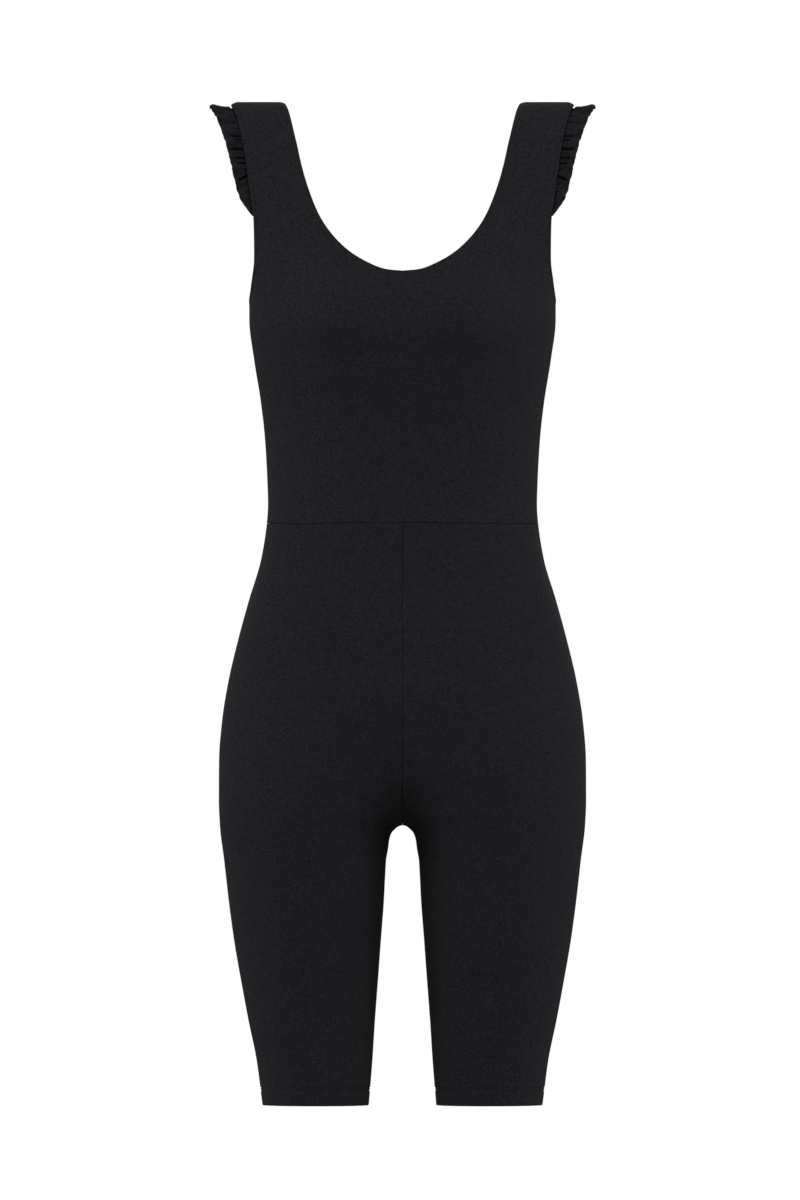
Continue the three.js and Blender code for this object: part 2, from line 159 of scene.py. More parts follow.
# Steps of each piece's grid of stitches.
BODICE_STEPS = Sizes(waist=36, side=36, armhole=52, neck_to_edge=70, to_armhole=4)
LEG_STEPS = Sizes(across=84, above_fork=22, fork=44, leg=62)
LEG_CROWDING = Sizes(fork=2.4, leg=2)
BRIDGE = Sizes(rise=6, across=17, drop=634, along=17)
TIGHT = Sizes(most=0.9, crotch=7, corner=7, corner_steps=1.6)
STITCH = Sizes(
    length=2.5,
    gap=0.5,
    rows=(13.6, 16),
    trough=0.8,
    radius=0.17,
    taper=(0.6, 1, 1, 1, 0.6),
    arch=(-0.25, 0.02, 0.07, 0.02, -0.25),
    leg_centre=(78.0, 0.0),
)
HEM_LINES = (17.2, 16, 14.8, 13.6, 12.4, 10.5, 8, 6, 4, 2.5)
RUFFLE_STEPS = Sizes(along=560, across=26, tucked=5)


# Form of the body cloth

def section_at(drop):
    """The horizontal section at each drop."""
    drop = np.asarray(drop, float)
    side = SECTIONS["side"](drop)
    inner = np.where(drop <= FORK_TOP_DROP, -side, np.maximum(-side, FORK["inner"](drop)))
    centre = (side + inner) / 2
    half = (side - inner) / 2
    roll = np.sqrt(1 - (1 - np.minimum(drop / SHOULDER_ROLL, 1)) ** 2)
    blend = np.minimum(FORK_BLEND.width, FORK_BLEND.per_offset * centre) / half
    return Sizes(
        side=side,
        centre=centre,
        half=half,
        blend=blend,
        square=SECTIONS["square"](drop),
        front=SECTIONS["front"](drop) * roll,
        back=SECTIONS["back"](drop) * roll,
    )


def section_field(section, face, x, y):
    """Below zero inside the two blended legs, above zero outside them."""
    deep = np.abs(y / getattr(section, face)) ** section.square

    def oval(offset):
        across = np.abs(offset / section.half) ** section.square
        return (across + deep) ** (1 / section.square) - 1

    own = oval(x - section.centre)
    other = oval(x + section.centre)
    blend = np.maximum(section.blend, 1e-9)
    near = np.maximum(blend - np.abs(own - other), 0) / blend
    joined = np.minimum(own, other) - near * near * blend / 4
    return np.where(section.blend > 0, joined, own)


def ray_end(section, face, angle):
    """Where a ray from the leg's centre leaves the cloth's form."""
    cos, sin = np.cos(angle), np.sin(angle)
    near = np.zeros_like(angle)
    to_middle = -section.centre / np.where(cos < -1e-9, cos, -1)
    far = np.where(cos < -1e-9, np.minimum(2 * section.side, to_middle), 2 * section.side)
    for _ in range(32):
        middle = (near + far) / 2
        inside = section_field(section, face, section.centre + middle * cos, middle * sin) < 0
        near = np.where(inside, middle, near)
        far = np.where(inside, far, middle)
    return section.centre + near * cos, near * sin


def start_turn(section, face):
    """The angle of the centre or inseam line, seen from the leg's centre."""
    power = section.square
    reach = (1 + np.maximum(section.blend, 0) / 4) ** power
    reach = reach - (section.centre / section.half) ** power
    start = getattr(section, face) * np.maximum(reach, 0) ** (1 / power)
    return math.pi - np.arctan2(start, section.centre)


LEVELS = np.linspace(UNDERARM_DROP - 5, HEM_DROP, 950)
SHARES = np.linspace(0, 1, 161)


def measured_arcs(face):
    """The length of each level's arc, and how far round the ray is that ends at each share of it."""
    rays = np.linspace(0, 1, 81)
    section = section_at(LEVELS[:, None])
    x, y = ray_end(section, face, start_turn(section, face) * (1 - rays[None, :]))
    steps = np.hypot(np.diff(x, axis=1), np.diff(y, axis=1))
    lengths = np.concatenate((np.zeros((len(LEVELS), 1)), np.cumsum(steps, axis=1)), axis=1)
    turns = np.array([np.interp(SHARES, row / row[-1], rays) for row in lengths])
    return Sizes(length=lengths[:, -1], turns=turns)


ARCS = {face: measured_arcs(face) for face in FACING}


def leg_points(face, share, drop):
    """Points of a leg panel at shares of the way from its inner edge to the side seam."""
    share, drop = np.broadcast_arrays(np.clip(share, 0, 1), drop)
    level = (drop - LEVELS[0]) / (LEVELS[1] - LEVELS[0])
    i = np.clip(level.astype(int), 0, len(LEVELS) - 2)
    step = share * (len(SHARES) - 1)
    j = np.clip(step.astype(int), 0, len(SHARES) - 2)
    u, v = np.clip(level - i, 0, 1), step - j
    turns = ARCS[face].turns
    upper = turns[i, j] * (1 - v) + turns[i, j + 1] * v
    lower = turns[i + 1, j] * (1 - v) + turns[i + 1, j + 1] * v
    section = section_at(drop)
    angle = start_turn(section, face) * (1 - upper * (1 - u) - lower * u)
    x, y = ray_end(section, face, angle)
    return np.stack((x, FACING[face] * y, -drop), axis=-1)


def neck_curve(face):
    """Points along the neck edge, as across and drop, with the length up to each."""
    knots = np.array(NECKLINE, float)
    knots[:, 1] *= NECK_DROP[face] / NECK_DROP["front"]
    before = np.vstack((knots[:1], knots[:-1]))[:-1]
    after = np.vstack((knots[1:], knots[-1:]))[1:]
    t = np.linspace(0, 1, 60, endpoint=False)[None, :, None]
    start, end = knots[:-1, None], knots[1:, None]
    leave, arrive = (end - before[:, None]) / 2, (after[:, None] - start) / 2
    spans = between(start, end, leave, arrive, t)
    points = np.vstack((spans.reshape(-1, 2), knots[-1:]))
    lengths = np.concatenate(([0], np.cumsum(np.hypot(*np.diff(points, axis=0).T))))
    return Sizes(across=points[:, 0], drop=points[:, 1], share=lengths / lengths[-1])


NECK = {face: neck_curve(face) for face in FACING}


def neck_across(face, drop):
    curve = NECK[face]
    return np.interp(drop, curve.drop[::-1], curve.across[::-1])


def turn_at(across, drop):
    """How far round the bodice a place is: 0 at the centre, 1 at the side seam."""
    section = section_at(drop)
    share = np.minimum(across / section.side, 1) ** (section.square / 2)
    return np.arcsin(share) * 2 / math.pi


def bust_rise(x, drop):
    both = bell(x - BUST.apart, BUST.across) + bell(x + BUST.apart, BUST.across)
    fall = np.where(drop < BUST.drop, BUST.above, BUST.below)
    return BUST.rise * both * bell(drop - BUST.drop, fall)


def hug_shoulder(points, face, drop):
    """The strap's two edges curl in towards the shoulder."""
    x = points[..., 0]
    edges = np.stack((x - neck_across(face, drop), ARMHOLE["across"](drop) - x))
    nearness = np.maximum(1 - np.maximum(edges, 0) / STRAP_CURL.across, 0)
    top = np.where(nearness[1] > nearness[0], STRAP_CURL.outer_depth, STRAP_CURL.depth)
    nearness = nearness.max(axis=0)
    fade = np.clip(drop / STRAP_CURL.fade, 0, 1)
    curl = top * (1 - fade) + STRAP_CURL.depth_below * fade
    curl = np.where(drop > STRAP_CURL.fade, 0, curl)
    core = np.stack((x, 0 * x, 0 * x - SHOULDER_ROLL), axis=-1)
    inward = core - points
    inward /= np.linalg.norm(inward, axis=-1, keepdims=True)
    return points + inward * (curl * nearness**2)[..., None]


def bodice_points(face, turn, drop):
    turn, drop = np.broadcast_arrays(turn, drop)
    section = section_at(drop)
    angle = np.abs(turn) * math.pi / 2
    x = section.side * np.sin(angle) ** (2 / section.square)
    share = np.maximum(np.cos(angle), 0) ** (2 / section.square)
    depth = getattr(section, face) * share
    if face == "front":
        depth = depth + share * bust_rise(x, drop)
    points = np.stack((x, FACING[face] * depth, -drop), axis=-1)
    points = hug_shoulder(points, face, drop)
    points[..., 0] *= np.sign(turn)
    return points


# Edges of the cloth. Each is a list of steps from the cut edge onto the face of the cloth:
# how far the step lies from the finished edge, and how deep under the face.

def rolled_over(radius, first, last):
    """Steps round a fold, from the angle first to last, where 90 degrees is the face."""
    angles = np.radians(np.linspace(first, last, int(abs(last - first) / 18) + 1))
    return [(radius * (1 - math.cos(a)), radius * (1 - math.sin(a))) for a in angles]


def sewn_edge():
    """The face rolls in at the seam and turns in beside the next panel."""
    turned_in = [(0, SEAM_ROLL + SEAM_TURN_IN * k / 5) for k in (5, 4, 3, 2, 1)]
    return turned_in + [(0, SEAM_ROLL)] * 4 + rolled_over(SEAM_ROLL, 0, 90)


def turned_edge(allowance):
    """The face rolls right over, and the allowance lies flat inside."""
    flat = [(EDGE_ROLL + (allowance - EDGE_ROLL) * k / 4, 2 * EDGE_ROLL) for k in (4, 3, 2, 1)]
    return flat + rolled_over(EDGE_ROLL, -90, 90)


def unit(vectors):
    return vectors / np.maximum(np.linalg.norm(vectors, axis=-1, keepdims=True), 1e-12)


def faced_normals(points, along, face, seams):
    """Outward normals, squared up to each seam's plane as they come near it."""
    down = np.gradient(points, axis=0)
    normals = unit(np.cross(down, along))
    outward = np.sign(np.sum(normals[..., 1] * FACING[face]))
    normals = normals * outward
    for axis, distance in seams:
        normals[..., axis] *= np.clip(distance / SQUARE_UP, 0, 1)
        normals = unit(normals)
    return normals


# Creases, given one by one: soft troughs, or ridges where the depth is below zero, from one
# place to another, as across and drop.
CREASES = {
    # from, to, depth, half width
    "front": [
        ((-108, 232), (-20, 240), 2.3, 13), ((106, 229), (24, 239), 2.2, 14),
        ((-4, 176), (-2, 246), 0.7, 11), ((-60, 286), (48, 292), 0.5, 15),
        ((-112, 352), (-52, 366), 0.35, 6), ((58, 371), (108, 359), 0.3, 5),
        ((-100, 415), (-64, 399), 0.35, 7), ((101, 411), (70, 398), 0.3, 6),
        ((-14, 662), (-58, 640), 1.4, 7), ((15, 660), (62, 631), 1.3, 7),
        ((-30, 668), (-96, 664), 0.5, 9), ((29, 669), (92, 667), 0.5, 8),
        ((-65, 700), (-70, 897), 3.6, 12), ((67, 704), (71, 902), 3.4, 12),
        ((-36, 702), (-44, 898), -2.4, 9), ((37, 706), (44, 903), -2.2, 9),
        ((-121, 158), (-96, 196), 0.5, 8), ((122, 155), (98, 193), 0.45, 8),
    ],
    "back": [
        ((-112, 250), (-46, 276), 0.8, 12), ((110, 247), (51, 279), 0.8, 11),
        ((-84, 330), (-20, 344), 0.6, 9), ((18, 349), (88, 336), 0.6, 8),
        ((-20, 652), (-88, 676), 1.0, 10), ((20, 654), (86, 679), 1.0, 11),
        ((-70, 712), (-68, 872), 0.8, 15), ((71, 716), (67, 868), 0.8, 14),
        ((-116, 164), (-88, 205), 0.6, 9), ((115, 161), (90, 207), 0.55, 9),
    ],
}


def crease_depth(face, points):
    """How far the cloth sinks at each point."""
    place = np.stack((points[..., 0], -points[..., 2]), axis=-1)
    depth = np.zeros(points.shape[:-1])
    for start, end, deep, wide in CREASES[face]:
        start, end = np.array(start, float), np.array(end, float)
        run = end - start
        along = np.sum((place - start) * run, axis=-1) / np.dot(run, run)
        foot = start + np.clip(along, 0, 1)[..., None] * run
        away = np.linalg.norm(place - foot, axis=-1)
        taper = np.sin(math.pi * np.clip(along * 0.8 + 0.1, 0, 1))
        depth += deep * taper * bell(away, wide)
    return depth


def fork_bridge(points):
    """How far the cloth comes forward where it bridges the hollow above the crotch."""
    x, z = points[..., 0], points[..., 2]
    away = (x / BRIDGE.across) ** 2 + ((z + BRIDGE.drop) / BRIDGE.along) ** 2
    return np.where(points[..., 1] < 0, BRIDGE.rise * np.exp(-away), 0)


def waist_waver(points):
    """The waist seam sags a little, less at the centre, and isn't quite straight."""
    x, z = points[..., 0], points[..., 2]
    lift = WAIST_WAVER.centre_lift * bell(x, WAIST_WAVER.centre_width)
    uneven = WAIST_WAVER.uneven * np.sin(x / 13.7 + 0.8) * np.cos(x / 31)
    return (lift - WAIST_WAVER.sag + uneven) * bell(z + WAIST_DROP, WAIST_WAVER.fade)


# Sheets of cloth from grids

def add_object(name, data):
    """A new object in the scene."""
    made = bpy.data.objects.new(name, data)
    bpy.context.scene.collection.objects.link(made)
    return made


def add_mesh(name, shape, material):
    """A new object with the mesh that the shape has come to."""
    mesh = bpy.data.meshes.new(name)
    shape.to_mesh(mesh)
    shape.free()
    mesh.materials.append(material)
    return add_object(name, mesh)


def cloth_sheet(name, points, cloth_uv, near_seam, thickness, material):
    """A sheet of cloth whose grid is laid on the given points."""
    rows, columns = points.shape[:2]
    cloth = bmesh.new()
    bmesh.ops.create_grid(cloth, x_segments=columns - 1, y_segments=rows - 1, size=1)
    cloth.verts.ensure_lookup_table()
    flat = np.array([vertex.co[:2] for vertex in cloth.verts])
    column = np.rint((flat[:, 0] + 1) / 2 * (columns - 1)).astype(int)
    row = np.rint((flat[:, 1] + 1) / 2 * (rows - 1)).astype(int)
    uv_layer = cloth.loops.layers.uv.new("cloth")
    # Distance from the nearest seam or edge. The jersey paints shade into the cloth close to it.
    seam_layer = cloth.verts.layers.float.new("near_seam")
    for vertex, r, c in zip(cloth.verts, row, column):
        vertex.co = points[r, c] * MM
        vertex[seam_layer] = near_seam[r, c]
    for face in cloth.faces:
        for loop in face.loops:
            k = loop.vert.index
            loop[uv_layer].uv = cloth_uv[row[k], column[k]] * MM
    bmesh.ops.remove_doubles(cloth, verts=cloth.verts, dist=2e-6)
    bmesh.ops.dissolve_degenerate(cloth, dist=1e-6, edges=cloth.edges)
    cloth.normal_update()
    for face in cloth.faces:
        face.smooth = True
    sheet = add_mesh(name, cloth, material)
    wall = sheet.modifiers.new("thickness", "SOLIDIFY")
    wall.thickness = thickness * MM
    wall.offset = -1
    wall.use_rim = True
    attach(sheet, "root")
    return sheet


def running_length(points, axis):
    """Millimetres of cloth from the grid's first line to each point, along an axis."""
    steps = np.linalg.norm(np.diff(points, axis=axis), axis=-1)
    start = np.zeros_like(np.take(steps, [0], axis=axis))
    return np.concatenate((start, np.cumsum(steps, axis=axis)), axis=axis)


def shares_along(away, lengths):
    """Shares of each line at the given distances along it."""
    shares = np.linspace(0, 1, lengths.shape[1])
    return np.array([np.interp(*line, shares) for line in zip(away, lengths)])


def line_slopes(on_line, share):
    """Which way each line runs at its points."""
    return on_line(np.minimum(share + NEARBY, 1)) - on_line(np.maximum(share - NEARBY, 0))


def facing_out(facing, row, points, *others):
    """The grids, turned over if the points' grid would look in at the middle of the given row."""
    column = points.shape[1] // 2
    across = points[row, column + 1] - points[row, column]
    down = points[row + 1, column] - points[row, column]
    step = -1 if np.cross(across, down)[1] * facing < 0 else 1
    return [grid[::step] for grid in (points, *others)]


def evenly_spaced(face, turn, drop, steps):
    """Places an even way apart along an edge, without its last point."""
    points = bodice_points(face, turn, drop)
    lengths = running_length(points, 0)
    wanted = lengths[-1] * np.arange(steps) / steps
    return np.interp(wanted, lengths, turn), np.interp(wanted, lengths, drop)


def bodice_lines(face):
    """Pairs of places, on the neck edge and on the outer edge, from one shoulder to the other."""
    curve = NECK[face]
    steps = BODICE_STEPS
    waist = np.arange(steps.waist) / steps.waist
    side = np.arange(steps.side) / steps.side
    to_side = BODICE_NECK_SHARE.side
    to_waist = BODICE_NECK_SHARE.waist
    ease = (1 - np.cos(np.linspace(0, math.pi, 1201))) / 2
    arm_drop = UNDERARM_DROP * (1 - ease)
    arm_turn = turn_at(ARMHOLE["across"](arm_drop), arm_drop)
    arm_turn, arm_drop = evenly_spaced(face, arm_turn, arm_drop, steps.armhole)

    def on_neck(share):
        drop = np.interp(share, curve.share, curve.drop)
        return turn_at(np.interp(share, curve.share, curve.across), drop), drop

    strap = evenly_spaced(face, *on_neck(to_side + (1 - to_side) * ease), steps.armhole)
    shares = np.concatenate((to_waist * waist, to_waist + (to_side - to_waist) * side))
    neck_turn, neck_drop = np.concatenate((on_neck(shares), strap), axis=1)
    at_waist = np.full(len(waist), float(WAIST_DROP))
    up_side = WAIST_DROP + (UNDERARM_DROP - WAIST_DROP) * side
    edge_drop = np.concatenate((at_waist, up_side, arm_drop))
    edge_turn = np.concatenate((waist, np.ones(len(side)), arm_turn))
    from_seam = np.array([distance for distance, _ in rolled_over(SEAM_ROLL, 90, 0)])
    depth = SECTIONS[face](0)
    top_drop = SHOULDER_ROLL * (1 - np.sqrt(1 - (from_seam / depth) ** 2))
    half = {
        "neck_turn": np.append(neck_turn, turn_at(neck_across(face, top_drop), top_drop)),
        "neck_drop": np.append(neck_drop, top_drop),
        "edge_turn": np.append(edge_turn, turn_at(ARMHOLE["across"](top_drop), top_drop)),
        "edge_drop": np.append(edge_drop, top_drop),
    }
    lines = {}
    for key, values in half.items():
        sign = -1 if key.endswith("turn") else 1
        lines[key] = np.concatenate((sign * values[:0:-1], values))
    return Sizes(**lines)


def bodice_sheet(face, material):
    lines = bodice_lines(face)
    count = len(lines.neck_turn)
    past_waist = np.abs(np.arange(count) - (count - 1) // 2) - BODICE_STEPS.waist

    # Lines that end near the underarm come up to it from below, so none runs over another.
    to_corner = np.clip(past_waist / BODICE_STEPS.side, 0, 1)
    up_armhole = np.clip(lines.edge_drop / UNDERARM_DROP, 0, 1) ** 2
    bend = (UNDERARM_BEND * to_corner * up_armhole)[:, None]

    def on_line(t):
        turn = lines.neck_turn[:, None] * (1 - t) + lines.edge_turn[:, None] * t
        drop = lines.neck_drop[:, None] * (1 - t) + lines.edge_drop[:, None] * t
        return bodice_points(face, turn, drop + bend * t**3 * (1 - t))

    fine = np.repeat(np.linspace(0, 1, 121)[None, :], count, axis=0)
    lengths = running_length(on_line(fine), 1)
    whole = lengths[:, -1:]

    # Each line starts with the neck's turned edge. It ends with a seam, or the armhole's edge.
    sewn, turned = np.array(sewn_edge()), np.array(turned_edge(NECK_ALLOWANCE))
    past_side = past_waist - BODICE_STEPS.side
    to_armhole = np.clip(past_side / BODICE_STEPS.to_armhole, 0, 1)[:, None]
    tight = (1 - TIGHT.most * bell(past_waist, TIGHT.corner_steps))[:, None]
    middle = np.linspace(0, 1, BODICE_STEPS.neck_to_edge + 2)[1:-1]
    middle = SEAM_ROLL + middle * (whole - 2 * SEAM_ROLL)
    neck_away, neck_deep = (np.repeat(turned[None, :, k], count, axis=0) for k in (0, 1))
    edge_away, edge_deep = (
        (sewn[:, k] * (1 - to_armhole) + turned[:, k] * to_armhole) * tight for k in (0, 1)
    )
    away = np.concatenate((neck_away, middle, (whole - edge_away)[:, ::-1]), axis=1)
    deep = np.concatenate((neck_deep, 0 * middle, edge_deep[:, ::-1]), axis=1)
    share = shares_along(away, lengths)
    points = on_line(share)

    from_edge = whole - away
    to_shoulder = np.minimum(running_length(points, 0), running_length(points[::-1], 0)[::-1])
    at_waist = (past_waist <= 0)[:, None]
    at_side = (past_waist >= 0)[:, None] & (to_armhole == 0)
    seams = [
        (1, to_shoulder),
        (2, np.where(at_waist, from_edge, FAR)),
        (1, np.where(at_side, from_edge, FAR)),
    ]
    normals = faced_normals(points, line_slopes(on_line, share), face, seams)
    roll = [depth for _, depth in rolled_over(SEAM_ROLL, 0, 90)]
    line_deep = np.zeros(count)
    line_deep[: len(roll)] = roll
    line_deep[-len(roll) :] = roll[::-1]
    depth = np.maximum(deep, line_deep[:, None])
    ridge = bell(from_edge - ARMHOLE_RIDGE.away, ARMHOLE_RIDGE.width)
    ridge = ARMHOLE_RIDGE.rise * ridge
    on_face = np.arange(away.shape[1]) < away.shape[1] - len(turned) + len(roll)
    from_shoulder = np.clip(to_shoulder / ARMHOLE_RIDGE.fade, 0, 1)
    depth = depth - ridge * to_armhole * on_face * from_shoulder
    near = np.minimum(np.where(to_armhole == 0, from_edge, FAR), to_shoulder)

    extra = len(TURNED_IN)
    order = [0] * extra + list(range(count)) + [count - 1] * extra
    points, normals, near, depth = (grid[order] for grid in (points, normals, near, depth))
    for k, under in enumerate(TURNED_IN):
        for line in (k, -1 - k):
            depth[line] = np.maximum(depth[line], under)
    return finished_panel(f"bodice_{face}", face, points, normals, depth, near, material)


def finished_panel(node, face, points, normals, depth, near, material, leg_side=None):
    """Sinks the creases and the rolled edges, keeps the seams' gaps, and makes the sheet."""
    fade = np.clip(near / CREASE_FADE, 0, 1)
    sink = depth + crease_depth(face, points) * fade
    placed = points - normals * sink[..., None]
    placed[..., 1] = FACING[face] * np.maximum(FACING[face] * placed[..., 1], HALF_GAP)
    if leg_side:
        placed[..., 0] = np.maximum(placed[..., 0], HALF_GAP)
        placed[..., 2] = np.minimum(placed[..., 2], -WAIST_DROP - HALF_GAP)
    else:
        placed[..., 2] = np.maximum(placed[..., 2], -WAIST_DROP + HALF_GAP)
    placed[..., 1] -= fork_bridge(placed)
    placed[..., 2] += waist_waver(placed)
    uv = np.stack((running_length(points, 1 if leg_side else 0), -points[..., 2]), axis=-1)
    if leg_side == "right":
        placed = placed * MIRROR
    placed, uv, near = facing_out(FACING[face], len(placed) // 2, placed, uv, near)
    sheet = cloth_sheet(f"{node}_cloth", placed, uv, near, CLOTH_THICKNESS, material)
    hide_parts(node)
    return sheet


def leg_rows():
    """Drops of each line of a leg panel at its inner edge and at the side seam."""
    steps, crowding = LEG_STEPS, LEG_CROWDING
    above = steps.above_fork + steps.fork
    hem_top = HEM_DROP - HEM_ALLOWANCE - HEM_APPROACH
    waist = [(WAIST_DROP + away, WAIST_DROP + away) for away, _ in rolled_over(SEAM_ROLL, 0, 90)]
    rows = list(waist)
    for i in range(1, above):
        outer = WAIST_DROP + (CROTCH_DROP - WAIST_DROP) * i / above
        if i < steps.above_fork:
            inner = WAIST_DROP + (FORK_TOP_DROP - WAIST_DROP) * i / steps.above_fork
        else:
            ease = 1 - (1 - (i - steps.above_fork) / steps.fork) ** crowding.fork
            inner = FORK_TOP_DROP + (CROTCH_DROP - FORK_TOP_DROP) * ease
        rows.append((inner, outer))
    crotch_row = len(rows)
    for i in range(steps.leg + 1):
        t = i / steps.leg
        inner = CROTCH_DROP + (hem_top - CROTCH_DROP) * t ** crowding.leg
        rows.append((inner, CROTCH_DROP + (hem_top - CROTCH_DROP) * t))
    hem = [*HEM_LINES, *(away for away, _ in rolled_over(EDGE_ROLL, 90, 0))]
    rows += [(HEM_DROP - away, HEM_DROP - away) for away in hem]
    return np.array(rows), crotch_row, len(waist)


def leg_sheet(face, side, material):
    rows, crotch_row, waist_rows = leg_rows()
    count = len(rows)

    def on_row(share):
        ease = share * (2 - share)
        drop = rows[:, :1] * (1 - ease) + rows[:, 1:] * ease
        return leg_points(face, share, drop)

    fine = np.repeat(np.linspace(0, 1, 61)[None, :], count, axis=0)
    lengths = running_length(on_row(fine), 1)
    whole = lengths[:, -1:]
    sewn = np.array(sewn_edge())
    seam_deep = sewn[:, 1]
    middle = np.linspace(0, 1, LEG_STEPS.across + 2)[1:-1]
    middle = SEAM_ROLL + middle * (whole - 2 * SEAM_ROLL)
    plain = 0 * middle[0]
    start = np.repeat(sewn[None, :, 0], count, axis=0)
    tight = 1 - TIGHT.most * bell(rows[:, :1] - CROTCH_DROP, TIGHT.crotch)
    away = np.concatenate((start * tight, middle, (whole - start)[:, ::-1]), axis=1)
    edge_deep = np.concatenate((seam_deep, plain, 0 * seam_deep)) * tight
    edge_deep = edge_deep + np.concatenate((0 * seam_deep, plain, seam_deep[::-1]))
    share = shares_along(away, lengths)
    points = on_row(share)

    row = np.arange(count)[:, None]
    from_waist = rows[:, :1] - WAIST_DROP + 0 * away
    from_side = whole - away
    seams = [
        (0, np.where(row <= crotch_row, away, FAR)),
        (1, np.where(row >= crotch_row, away, FAR)),
        (1, from_side),
        (2, from_waist),
    ]
    normals = faced_normals(points, line_slopes(on_row, share), face, seams)
    near = np.minimum(np.minimum(away, from_side), from_waist)
    hem_roll = [depth for _, depth in rolled_over(EDGE_ROLL, 90, 0)]
    line_deep = np.zeros(count)
    line_deep[:waist_rows] = [depth for _, depth in rolled_over(SEAM_ROLL, 0, 90)]
    line_deep[-len(hem_roll) :] = hem_roll
    for stitched in STITCH.rows:
        line_deep[np.isclose(rows[:, 0], HEM_DROP - stitched)] = STITCH.trough
    tight_corner = 1 - TIGHT.most * bell(from_side, TIGHT.corner)
    tight_corner[waist_rows:] = 1
    depth = np.maximum(line_deep[:, None] * tight_corner, edge_deep)

    # Lines in their order: turned in at the waist, down the leg, over the hem and up inside.
    over = list(range(count - 2, count - 1 - len(hem_roll), -1))
    hem_top = count - len(hem_roll) - 1
    inside = list(range(hem_top, hem_top - sum(up <= HEM_ALLOWANCE for up in HEM_LINES), -1))
    order = [0] * len(TURNED_IN) + list(range(count)) + over + inside
    under = TURNED_IN + [0] * count + [2 * EDGE_ROLL - line_deep[line] for line in over]
    under = np.array(under + [2 * EDGE_ROLL] * len(inside))
    depth = np.maximum(depth[order], under[:, None])
    return finished_panel(
        f"shorts_{face}_{side}", face, points[order], normals[order], depth, near[order],
        material, leg_side=side,
    )


# Ruffle: its width, and how far it stands off the strap for each millimetre sideways, from
# the shoulder (0) to its lower end (1).
RUFFLE_FORM = table(("along", "width", "flare"), [
    (0, 19.6, -0.02),
    (0.2, 18.3, -0.02),
    (0.46, 15.6, 0.22),
    (0.68, 13.1, 0.25),
    (0.86, 10.6, 0.25),
    (0.95, 5.6, 0.2),
    (1, 1.6, 0.15),
])
RUFFLE = Sizes(
    drop_at_end=104,
    thickness=0.6,
    under=2.35,
    tuck=4.5,
    clear=0.9,
    full_width=10,
    waves=18,
    wave=2.1,
    wave_spread=1.2,
    gathers=47,
    gather_depth=0.16,
    gather_reach=0.3,
    crest_window=0.06,
    crest_dip=0.3,
    crest_rise=2.7,
    crest_lift=1.8,
    crest_steepness=9,
    crest_curl=2.6,
    curl_from=0.82,
    curl_over=0.18,
    curl_power=1.6,
    knob=0.5,
    knob_window=0.03,
    groove=0.5,
    groove_width=0.9,
    low=(0.87, 0.07),
    low_groove=3.5,
    low_swell=2.0,
    swell_skew=0.8,
)

# Slow waves along the ruffle, that shift the broad waves and raise them: height, turn and start.
WAVE_SHIFT = [(0.0045, 23, 1.1), (0.003, 61, 0)]
WAVE_RISE = [(0.25, 17, 0.4), (0.15, 41, 2)]
GATHER_SHIFT = (3, 9)

# Pleats drawn in by the gathering thread: drop of the root, depth, how far out it reaches,
# how far it slants down by its outer end, and half width.
PLEAT = Sizes(depth=2.2, narrow=0.75, spread=1.1, rim=0.7)
PLEATS = {
    "front": [
        (3, 0.8, 0.7, 0.5, 1.6), (9, 0.7, 0.6, 0.4, 1.3), (15.6, 0.9, 0.75, 0.6, 1.5),
        (22, 0.5, 0.4, 0.2, 1.1), (29.4, 1.3, 0.7, 0.6, 1.1), (33.6, 1.0, 0.55, 0.4, 0.9),
        (42.3, 1.9, 0.9, 0.8, 1.3), (46.5, 0.4, 0.4, 0.5, 0.9), (51.1, 1.5, 0.85, 1.6, 1.2),
        (56.5, 1.3, 0.7, 0.6, 1.1), (62.5, 0.4, 0.35, 0.4, 0.9), (68, 2.4, 1.0, 7.5, 1.5),
        (76, 0.5, 0.5, 2.5, 1.1), (83, 0.4, 0.6, 2.0, 1.2), (95, 0.3, 0.6, 1.0, 1.0),
    ],
    "back": [
        (4, 0.7, 0.6, 0.4, 1.5), (11, 0.9, 0.7, 0.7, 1.4), (18, 0.6, 0.5, 0.3, 1.1),
        (25.5, 1.4, 0.8, 1.0, 1.2), (31, 0.9, 0.5, 0.4, 1.0), (38, 1.7, 0.9, 0.6, 1.3),
        (47, 1.1, 0.6, 1.9, 1.1), (53.5, 1.6, 0.85, 0.8, 1.2), (60, 0.8, 0.45, 0.5, 1.0),
        (66, 1.3, 0.8, 3.5, 1.2), (74, 1.8, 0.95, 5.0, 1.4), (83, 1.0, 0.7, 2.0, 1.1),
        (92, 0.6, 0.6, 1.5, 1.0),
    ],
}


def armhole_line(place):
    """Points, outward normals and outward edges of the strap, from -1 in front to 1 behind."""
    drop = RUFFLE.drop_at_end * place**2
    edge = np.empty((len(place), 3))
    inside = np.empty_like(edge)
    for face in FACING:
        chosen = place < 0 if face == "front" else place >= 0
        across = ARMHOLE["across"](drop[chosen])
        edge[chosen] = bodice_points(face, turn_at(across, drop[chosen]), drop[chosen])
        inner_turn = turn_at(across - 3, drop[chosen])
        inside[chosen] = bodice_points(face, inner_turn, drop[chosen])
    along = np.gradient(edge, axis=0)
    across = unit(edge - inside)
    outward = unit(np.cross(across, along))
    outward *= np.sign(outward[len(place) // 2, 2])
    return edge, outward, across


def wavering(value, share, waves):
    """The value with slow waves added to it along the ruffle."""
    return sum((rise * np.sin(turn * share + start) for rise, turn, start in waves), value)


